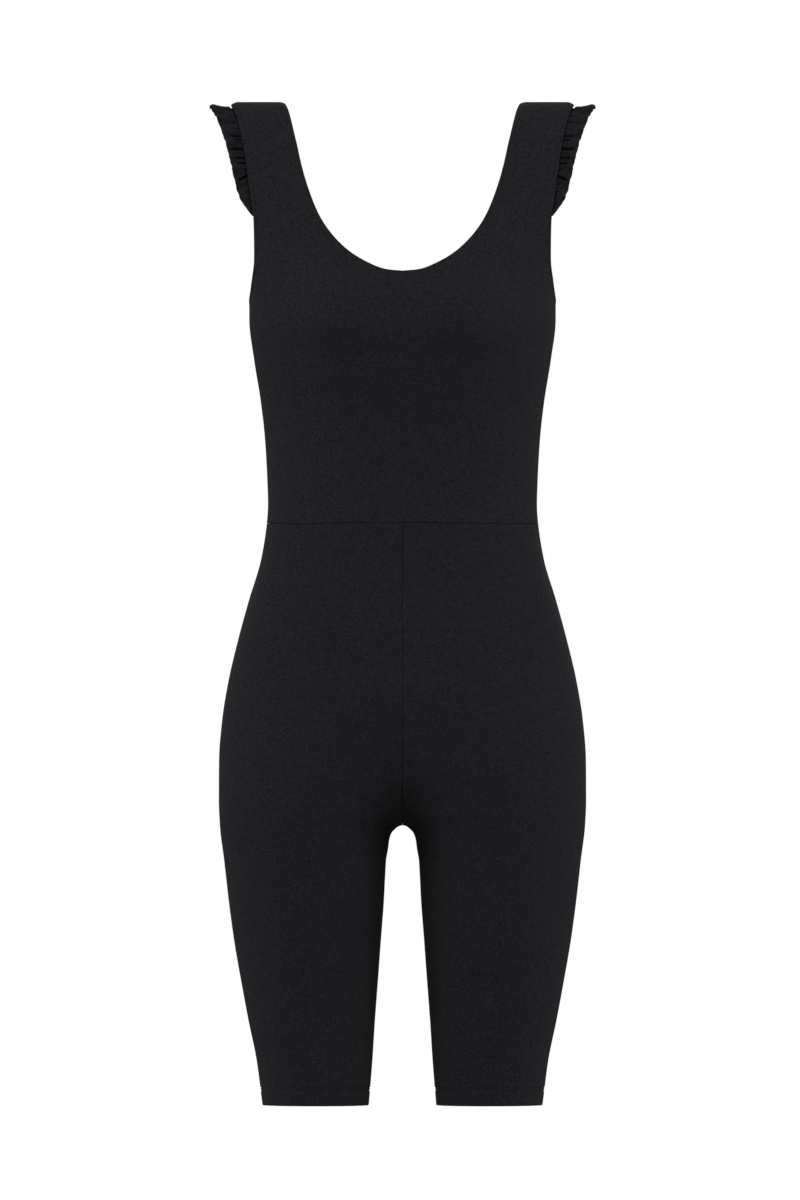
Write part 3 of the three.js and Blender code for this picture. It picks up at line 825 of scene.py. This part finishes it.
def pleat_depth(station, free, centre_of):
    """How far in each pleat draws the ruffle."""
    for face, rows in PLEATS.items():
        way = -1 if face == "front" else 1
        for drop, deep, reach, slant, half_width in rows:
            centre = centre_of(way * math.sqrt(drop / RUFFLE.drop_at_end))
            width = half_width * (PLEAT.narrow + PLEAT.spread * free)
            u = (station - centre - slant * free * way) / width
            fade = np.clip(1 - (free / reach) ** 3, 0, 1)
            yield PLEAT.depth * deep * fade * (1 - PLEAT.rim * u**2) * bell(u, 1)


def gathered_relief(share, station, width, free, centre_of):
    """Broad waves at the free edge, narrow pleats at the gathered one, and a curled crest."""
    fullness = np.minimum(width / RUFFLE.full_width, 1)
    shifted = wavering(share, share, WAVE_SHIFT)
    wave = np.sin(2 * math.pi * RUFFLE.waves * shifted) * wavering(1, share, WAVE_RISE)
    raised = RUFFLE.wave * (wave * fullness) * free ** RUFFLE.wave_spread
    high, turn = GATHER_SHIFT
    gathers = np.sin(2 * math.pi * RUFFLE.gathers * shifted + high * np.sin(turn * share))
    gathers = RUFFLE.gather_depth * gathers * bell(free, RUFFLE.gather_reach)
    crest = bell(share - 0.5, RUFFLE.crest_window)
    curl = np.clip((free - RUFFLE.curl_from) / RUFFLE.curl_over, 0, 1)
    bowed = RUFFLE.crest_rise * free**2 - RUFFLE.crest_dip * np.sin(math.pi * free)
    bowed = bowed + RUFFLE.crest_lift * np.clip(free * RUFFLE.crest_steepness, 0, 1)
    bowed = bowed - RUFFLE.crest_curl * curl ** RUFFLE.curl_power
    groove = RUFFLE.groove * bell(free * width, RUFFLE.groove_width)
    low_centre, low_width = RUFFLE.low
    low = bell(np.abs(2 * share - 1) - low_centre, low_width)
    groove *= 1 + RUFFLE.low_groove * low
    swell = RUFFLE.low_swell * low * np.sin(math.pi * free ** RUFFLE.swell_skew)
    gathers = gathers + crest * bowed + swell - groove
    for deep in pleat_depth(station, free, centre_of):
        raised = raised - deep
    return (raised + gathers) * fullness


def ruffle_sheet(side, material):
    place = np.linspace(-1, 1, 1601)
    edge, outward, across = armhole_line(place)
    length = running_length(edge, 0)
    station = np.linspace(0, length[-1], RUFFLE_STEPS.along + 1)

    def at_stations(values):
        return np.stack([np.interp(station, length, v) for v in values.T], axis=-1)

    edge = at_stations(edge)
    outward = unit(at_stations(outward))
    across = unit(at_stations(across))
    share = station / length[-1]
    along = np.abs(2 * share - 1)
    knob = RUFFLE.knob * bell(share - 0.5, RUFFLE.knob_window)
    width = RUFFLE_FORM["width"](along) + knob
    flare = RUFFLE_FORM["flare"](along)
    aside = unit(np.array((1, 0, 0)) + outward * flare[:, None])
    lift = unit(outward - aside * np.sum(outward * aside, axis=1, keepdims=True))

    column = np.arange(RUFFLE_STEPS.across + 1)
    tucked = RUFFLE_STEPS.tucked
    free = np.clip((column - tucked) / (column[-1] - tucked), 0, 1)
    root = edge - outward * RUFFLE.under
    turn = root + across * RUFFLE.clear
    grid = np.empty((len(station), len(column), 3))
    for j in column:
        if j <= tucked:
            back = -RUFFLE.tuck + (RUFFLE.tuck + RUFFLE.clear) * j / tucked
            grid[:, j] = root + across * back
        else:
            grid[:, j] = turn + aside * (width * free[j])[:, None]

    raised = gathered_relief(
        share[:, None], station[:, None], width[:, None], free,
        centre_of=lambda q: np.interp(q, place, length),
    )
    under_cloth = np.clip((column - tucked + 2) / 2.0, 0, 1)
    grid = grid + lift[:, None, :] * (raised * under_cloth)[..., None]

    round_armhole = running_length(grid, 0)[:, -1:] + 0 * grid[..., 0]
    uv = np.stack((round_armhole, running_length(grid, 1)), axis=-1)
    # Distance out from the root. The jersey paints shade along the root, under the strap's edge.
    near = free * width[:, None]
    if side == "right":
        grid = grid * MIRROR
    grid, uv, near = facing_out(FACING["front"], len(grid) // 4, grid, uv, near)
    sheet = cloth_sheet(f"ruffle_{side}_cloth", grid, uv, near, RUFFLE.thickness, material)
    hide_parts(f"ruffle_{side}")
    return sheet


# Overlocked allowances inside the seams

TAPE = Sizes(half_width=3.2, columns=9, thickness=0.5, under=2.15, waist_under=2.75)
TAPE_ROWS = Sizes(centre=170, inseam=130, side=380, shoulder=60, waist=91)
AWAY = np.linspace(-1, 1, TAPE.columns)[None, :] * TAPE.half_width

# Where the tapes start and end, so that they stay clear of the cloth round them.
CENTRE_TAPE = (WAIST_DROP + 0.5, CROTCH_DROP - 0.4)
INSEAM_TAPE = (CROTCH_DROP + 1.2, HEM_DROP - 1.5)
SIDE_TAPE = (UNDERARM_DROP + 3, HEM_DROP - 1.5)
SHOULDER_TAPE = (NECKLINE[-1][0] + 1.5, 154)


def share_of(face, away, drop):
    return away / np.interp(drop, LEVELS, ARCS[face].length)


def across_seam(first, second):
    """Joins what lies on a seam's two sides, each taken where its distances are its own."""
    return np.where(AWAY[..., None] < 0, first, second)


def seam_tape(name, points, material, under=TAPE.under, mirror=False, centre=(0, 0, -500)):
    """A strip that lies inside along a seam, on the side of the given centre."""
    normals = unit(np.cross(np.gradient(points, axis=0), np.gradient(points, axis=1)))
    outward = np.sum((points - np.array(centre)) * normals)
    normals *= np.sign(outward) if abs(outward) > 1 else 1
    placed = points - normals * under
    placed[..., 1] -= fork_bridge(placed)
    placed[..., 2] += waist_waver(placed)
    along = running_length(points, 0)[:, :1] + 0 * points[..., 0]
    uv = np.stack((along, AWAY + 0 * points[..., 0]), axis=-1)
    if mirror:
        placed = placed * MIRROR
    cloth_sheet(name, placed, uv, np.abs(uv[..., 1]), TAPE.thickness, material)


def seam_tapes(material):
    away = np.abs(AWAY)
    for face in FACING:
        drop = np.linspace(*CENTRE_TAPE, TAPE_ROWS.centre)[:, None]
        half = leg_points(face, share_of(face, away, drop), drop)
        seam_tape(f"seam_tape_centre_{face}", across_seam(half * MIRROR, half), material)
    for side in ("left", "right"):
        mirror = side == "right"
        drop = np.linspace(*INSEAM_TAPE, TAPE_ROWS.inseam)[:, None]
        legs = [leg_points(face, share_of(face, away, drop), drop) for face in FACING]
        inseam = across_seam(*legs)
        seam_tape(f"seam_tape_inseam_{side}", inseam, material, mirror=mirror, centre=(78, 0, -795))
        drop = np.linspace(*SIDE_TAPE, TAPE_ROWS.side)[:, None]
        legs = [leg_points(face, 1 - share_of(face, away, drop), drop) for face in FACING]
        seam_tape(f"seam_tape_side_{side}", across_seam(*legs), material, mirror=mirror)
        x = np.linspace(*SHOULDER_TAPE, TAPE_ROWS.shoulder)[:, None]
        tops = []
        for face in FACING:
            top = SHOULDER_ROLL * (1 - np.sqrt(1 - (away / SECTIONS[face](0)) ** 2)) + 0 * x
            tops.append(bodice_points(face, turn_at(x + 0 * top, top), top))
        crest = across_seam(*tops)
        seam_tape(f"seam_tape_shoulder_{side}", crest, material, mirror=mirror, centre=(130, 0, -100))
    share = np.linspace(0, 1, TAPE_ROWS.waist)[:, None]
    drop = WAIST_DROP + AWAY + 0 * share
    front, back = (leg_points(face, share + 0 * AWAY, drop) for face in FACING)
    right_front, right_back = front * MIRROR, back * MIRROR
    ring = np.concatenate((front, back[::-1][1:], right_back[1:], right_front[::-1][1:]))
    seam_tape("seam_tape_waist", ring, material, under=TAPE.waist_under)


# Twin-needle stitching round each hem

def sew_stitch(stitching, spine, sign):
    """One short raised stitch along its spine."""
    run = unit(np.gradient(spine, axis=0))
    out = unit(np.cross(run, (0, 0, 1.0)))
    if np.dot(out[2][:2], spine[2][:2] - np.array(STITCH.leg_centre)) < 0:
        out = -out
    raised = np.array(STITCH.arch) - STITCH.trough
    thick = np.array(STITCH.taper) * STITCH.radius
    rings = []
    edges = []
    for p, n, s, t in zip(spine, out, raised, thick):
        loop = []
        for angle in np.arange(6) * math.pi / 3:
            offset = n * (s + t * math.cos(angle)) + np.array((0, 0, t * math.sin(angle)))
            co = (p + offset) * MM
            loop.append(stitching.verts.new((co[0] * sign, co[1], co[2])))
        rings.append(loop)
    for loop in rings:
        edges.append([stitching.edges.new((loop[i], loop[(i + 1) % 6])) for i in range(6)])
    for first, second in zip(edges, edges[1:]):
        bmesh.ops.bridge_loops(stitching, edges=first + second)
    for loop in (rings[0], rings[-1]):
        stitching.faces.new(loop)


def hem_stitching(side, material):
    """Two rows of short raised stitches, joined in one mesh."""
    stitching = bmesh.new()
    sign = 1 if side == "left" else -1
    for up in STITCH.rows:
        share = np.linspace(0, 1, 400)
        front, back = (leg_points(face, share, HEM_DROP - up) for face in FACING)
        ring = np.concatenate((front, back[::-1]))
        length = running_length(ring, 0)
        count = int(length[-1] / (STITCH.length + STITCH.gap))
        for k in range(count):
            start = (k + 0.5) * length[-1] / count - STITCH.length / 2
            at = start + np.linspace(0, STITCH.length, len(STITCH.arch))
            spine = np.stack([np.interp(at, length, values) for values in ring.T], axis=-1)
            sew_stitch(stitching, spine, sign)
    bmesh.ops.recalc_face_normals(stitching, faces=stitching.faces)
    for face in stitching.faces:
        face.smooth = True
    thread = add_mesh(f"hem_stitching_{side}", stitching, material)
    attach(thread, "root")
    return thread


# Materials

def add_node(tree, kind, values=None, **inputs):
    """A node with its settings, and numbers or links for its named inputs."""
    node = tree.nodes.new(kind)
    for key, value in (values or {}).items():
        setattr(node, key, value)
    for key, value in inputs.items():
        socket = node.inputs[int(key[1:])] if key[0] == "i" and key[1:].isdigit() else node.inputs[key]
        if hasattr(value, "is_linked"):
            tree.links.new(value, socket)
        else:
            socket.default_value = value
    return node


def maths(tree, operation, first, second=0.0):
    node = add_node(tree, "ShaderNodeMath", {"operation": operation}, i0=first, i1=second)
    return node.outputs[0]


def noise(tree, place, scale, detail, roughness=0.5):
    node = add_node(
        tree, "ShaderNodeTexNoise", Vector=place, Scale=scale, Detail=detail, Roughness=roughness
    )
    return node.outputs[0]


def ramp(tree, amount, first, last):
    """A shade between two colours, each given as its place on the ramp and the colour."""
    shade = add_node(tree, "ShaderNodeValToRGB", Fac=amount)
    for stop, (place, color) in zip(shade.color_ramp.elements, (first, last)):
        stop.position = place
        stop.color = (*color, 1)
    return shade.outputs[0]


def remap(tree, value, before, after):
    """The value, with the first range stretched onto the second."""
    names = ("From Min", "From Max", "To Min", "To Max")
    ends = dict(zip(names, (*before, *after)))
    return add_node(tree, "ShaderNodeMapRange", Value=value, **ends).outputs[0]


def bump(tree, height, strength, distance, **under):
    node = add_node(
        tree, "ShaderNodeBump", Height=height, Strength=strength, Distance=distance, **under
    )
    return node.outputs[0]


def new_material(name):
    """A material with its node tree and its shader."""
    material = bpy.data.materials.new(name)
    material.use_nodes = True
    tree = material.node_tree
    return material, tree, tree.nodes["Principled BSDF"]


def knit_height(tree, wale=0.00062, course=0.00052):
    """Rows of small V shaped stitches, raised from 0 to 1."""
    where = add_node(tree, "ShaderNodeUVMap", {"uv_map": "cloth"})
    parts = add_node(tree, "ShaderNodeSeparateXYZ", i0=where.outputs[0])
    across = maths(tree, "DIVIDE", parts.outputs[0], wale)
    leg = maths(tree, "PINGPONG", across, 0.5)
    slanted = maths(tree, "ADD", maths(tree, "DIVIDE", parts.outputs[1], course), leg)
    yarn = maths(tree, "PINGPONG", slanted, 0.5)
    hollow = maths(tree, "SINE", maths(tree, "MULTIPLY", leg, 6.283))
    hollow = maths(tree, "ADD", maths(tree, "MULTIPLY", hollow, 0.8), 0.2)
    return maths(tree, "MULTIPLY", maths(tree, "MULTIPLY", yarn, 2.0), hollow)


def jersey(name, dark, light):
    """Fine black cotton and elastane jersey with a soft nap, and shade painted into the ditch beside
    each seam.
    """
    material, tree, shader = new_material(name)
    place = add_node(tree, "ShaderNodeTexCoord").outputs["Object"]
    broad = noise(tree, place, 9.0, 3.0)
    fleck = noise(tree, place, 880.0, 2.0, 0.6)
    mottle = noise(tree, place, 260.0, 3.0, 0.6)
    blend = maths(tree, "MULTIPLY", broad, 0.05)
    blend = maths(tree, "ADD", blend, maths(tree, "MULTIPLY", fleck, 0.8))
    blend = maths(tree, "ADD", blend, maths(tree, "MULTIPLY", mottle, 0.15))
    shade = ramp(tree, blend, (0.36, dark), (0.64, light))

    # Painted shade: the ditch beside each seam is painted darker, more in some places than in others.
    near_seam = add_node(tree, "ShaderNodeAttribute", {"attribute_name": "near_seam"})
    painted_ditch_shade = remap(tree, near_seam.outputs["Fac"], (0.2, 1.1), (0.4, 0.0))
    amount = remap(tree, noise(tree, place, 14.0, 2.0), (0.32, 0.6), (0.1, 1.0))
    shadow = maths(tree, "MULTIPLY", painted_ditch_shade, amount)
    painted_shade_mix = add_node(
        tree, "ShaderNodeMixRGB", Fac=shadow, Color1=shade, Color2=(0.0004, 0.0004, 0.0005, 1)
    )
    tree.links.new(painted_shade_mix.outputs[0], shader.inputs["Base Color"])
    rough = remap(tree, mottle, (0.0, 1.0), (0.82, 0.96))
    tree.links.new(rough, shader.inputs["Roughness"])
    knit = bump(tree, knit_height(tree), 0.35, 0.00012)
    nap = bump(tree, fleck, 0.4, 0.0002, Normal=knit)
    tree.links.new(nap, shader.inputs["Normal"])
    shader.inputs["Specular IOR Level"].default_value = 0.0
    shader.inputs["Sheen Weight"].default_value = 0.009
    shader.inputs["Sheen Roughness"].default_value = 0.5
    return material


def overlock(name):
    """Cut edges of the cloth under close loops of thread."""
    material, tree, shader = new_material(name)
    where = add_node(tree, "ShaderNodeUVMap", {"uv_map": "cloth"})
    parts = add_node(tree, "ShaderNodeSeparateXYZ", i0=where.outputs[0])
    slant = maths(tree, "MULTIPLY", parts.outputs[1], 0.35)
    loops = maths(tree, "DIVIDE", maths(tree, "ADD", parts.outputs[0], slant), 0.0011)
    thread = maths(tree, "MULTIPLY", maths(tree, "PINGPONG", loops, 0.5), 2.0)
    shade = ramp(tree, thread, (0, (0.005, 0.005, 0.0055)), (1, (0.016, 0.016, 0.017)))
    tree.links.new(shade, shader.inputs["Base Color"])
    tree.links.new(bump(tree, thread, 0.8, 0.0003), shader.inputs["Normal"])
    shader.inputs["Roughness"].default_value = 0.8
    shader.inputs["Specular IOR Level"].default_value = 0.12
    return material


def thread_material():
    """Black polyester thread, a little glossier than the cloth."""
    material, tree, shader = new_material("black_thread")
    place = add_node(tree, "ShaderNodeTexCoord").outputs["Object"]
    wave = add_node(tree, "ShaderNodeTexWave", Vector=place, Scale=900.0, Distortion=2.0)
    twist = wave.outputs[1]
    shade = ramp(tree, twist, (0, (0.004, 0.004, 0.0045)), (1, (0.011, 0.011, 0.012)))
    tree.links.new(shade, shader.inputs["Base Color"])
    tree.links.new(bump(tree, twist, 0.4, 0.0001), shader.inputs["Normal"])
    shader.inputs["Roughness"].default_value = 0.6
    shader.inputs["Specular IOR Level"].default_value = 0.05
    return material


# Camera, floor and light

PICTURE = Sizes(pixels=1200, pixel=0.92, centre=(-0.0023, -0.4582))
FLOOR = Sizes(radius=6, height=-1.42)


def photographer_camera():
    """A long lens, level with the middle of the picture."""
    camera = bpy.data.cameras.new("camera")
    camera.lens = 800
    camera.sensor_width = 36
    camera.clip_start = 0.1
    camera.clip_end = 100
    height = PICTURE.pixels * PICTURE.pixel * MM
    across, up = PICTURE.centre
    stand = add_object("camera", camera)
    stand.location = (across, -camera.lens * height / camera.sensor_width, up)
    stand.rotation_euler = (math.pi / 2, 0, 0)
    bpy.context.scene.camera = stand


def pale_floor():
    """Painted shade: grey under the garment, which also throws less light back up onto it, and painted
    lighter towards the edge so that it fades into the white around it.
    """
    material, tree, shader = new_material("pale_floor")
    place = add_node(tree, "ShaderNodeTexCoord").outputs["Object"]
    parts = add_node(tree, "ShaderNodeSeparateXYZ", i0=place)
    squares = [maths(tree, "POWER", maths(tree, "ABSOLUTE", parts.outputs[i]), 2.0) for i in (0, 1)]
    away = maths(tree, "POWER", maths(tree, "ADD", *squares), 0.5)
    # Noise that makes the edge between the painted grey and the lighter rim uneven.
    painted_shade_wobble = noise(tree, place, 6.0, 6.0)
    away = maths(tree, "ADD", away, maths(tree, "MULTIPLY", painted_shade_wobble, 0.1))
    away = maths(tree, "DIVIDE", away, FLOOR.radius)
    shade = ramp(tree, away, (0.2, (0.34, 0.34, 0.34)), (0.85, (0.7, 0.7, 0.7)))
    tree.links.new(shade, shader.inputs["Base Color"])
    shader.inputs["Roughness"].default_value = 0.8
    return material


def studio_floor():
    disc = bmesh.new()
    bmesh.ops.create_circle(disc, cap_ends=True, segments=96, radius=FLOOR.radius)
    bmesh.ops.translate(disc, verts=disc.verts, vec=(0, 0, FLOOR.height))
    floor = add_mesh("floor", disc, pale_floor())


def softbox(name, place, size, power):
    """A square soft light aimed at the middle of the garment."""
    light = bpy.data.lights.new(name, "AREA")
    light.shape = "SQUARE"
    light.size = size
    light.energy = power
    lamp = add_object(name, light)
    lamp.location = place
    aim = Vector((0, 0, -0.46)) - Vector(place)
    lamp.rotation_euler = aim.to_track_quat("-Z", "Y").to_euler()
    lamp.visible_camera = False


def studio_light():
    world = bpy.data.worlds.new("studio")
    world.use_nodes = True
    sky = world.node_tree.nodes["Background"]
    sky.inputs[0].default_value = (1, 1, 1, 1)
    sky.inputs[1].default_value = 1.0
    bpy.context.scene.world = world
    softbox("top_light", (0, -2.6, 2.5), 2.2, 205)
    softbox("left_light", (3.2, -0.8, 0.1), 1.8, 160)
    softbox("right_light", (-3.2, -0.8, 0.1), 1.8, 160)
    softbox("back_light", (0, 2.6, 2.3), 2.2, 300)
    bpy.context.scene.view_settings.view_transform = "Standard"


photographer_camera()
studio_floor()
studio_light()

# Three copies of the one jersey: the shorts' is painted a little darker than the bodice's and the
# ruffle's darker still, as painted shade.
BODICE_JERSEY = jersey("bodice_jersey", (0.0023, 0.00233, 0.0028), (0.0078, 0.00785, 0.0087))
SHORTS_JERSEY_SHADED = jersey("shorts_jersey_painted_shade", (0.0022, 0.00222, 0.0027), (0.0075, 0.00755, 0.0084))
RUFFLE_JERSEY_SHADED = jersey("ruffle_jersey_painted_shade", (0.0022, 0.00222, 0.0027), (0.0071, 0.00715, 0.0080))
THREAD = thread_material()
OVERLOCK = overlock("overlocked_edge")

for face in ("front", "back"):
    bodice = bodice_sheet(face, BODICE_JERSEY)
    for side in ("left", "right"):
        leg = leg_sheet(face, side, SHORTS_JERSEY_SHADED)
for side in ("left", "right"):
    frill = ruffle_sheet(side, RUFFLE_JERSEY_SHADED)
    hem_stitching(side, THREAD)

seam_tapes(OVERLOCK)
